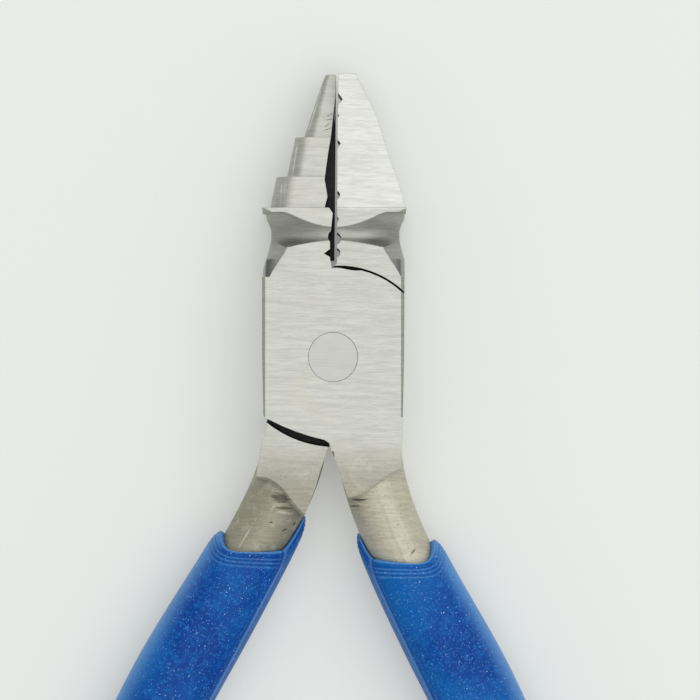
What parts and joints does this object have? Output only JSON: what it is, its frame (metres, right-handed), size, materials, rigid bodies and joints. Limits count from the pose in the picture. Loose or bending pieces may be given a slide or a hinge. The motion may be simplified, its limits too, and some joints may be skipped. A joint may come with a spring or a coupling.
{
  "type": "crimping pliers",
  "caption": "Small lap-jointed crimping pliers with a stepped round jaw, a notched flat jaw and bowed, dipped handle grips, joined by one flush rivet.",
  "frame": {"origin": "on the rivet's axis, at the head's flat back face, which is also the plane the pliers lie on", "axes": "+Y towards the jaw tips, +Z out of the head's front face along the rivet, +X towards the flat jaw's side"},
  "size_m": [0.0598, 0.1267, 0.0084],
  "materials": {
    "steel": "ground satin tool steel",
    "rivet_steel": "ground flush with the head",
    "grip_vinyl": "glossy dipped vinyl with fine glitter"
  },
  "bodies": {
    "flat_half": {"flat_jaw_half": "steel", "joint_rivet": "rivet_steel", "left_grip": "grip_vinyl"},
    "stepped_half": {"stepped_jaw_half": "steel", "right_grip": "grip_vinyl"}
  },
  "joints": [
    {"name": "jaw_pivot", "type": "hinge", "parent": "flat_half", "child": "stepped_half", "pos_m": [0, 0, 0.0042], "axis": [0, 0, 1], "range_deg": [-0.4, 14]}
  ]
}
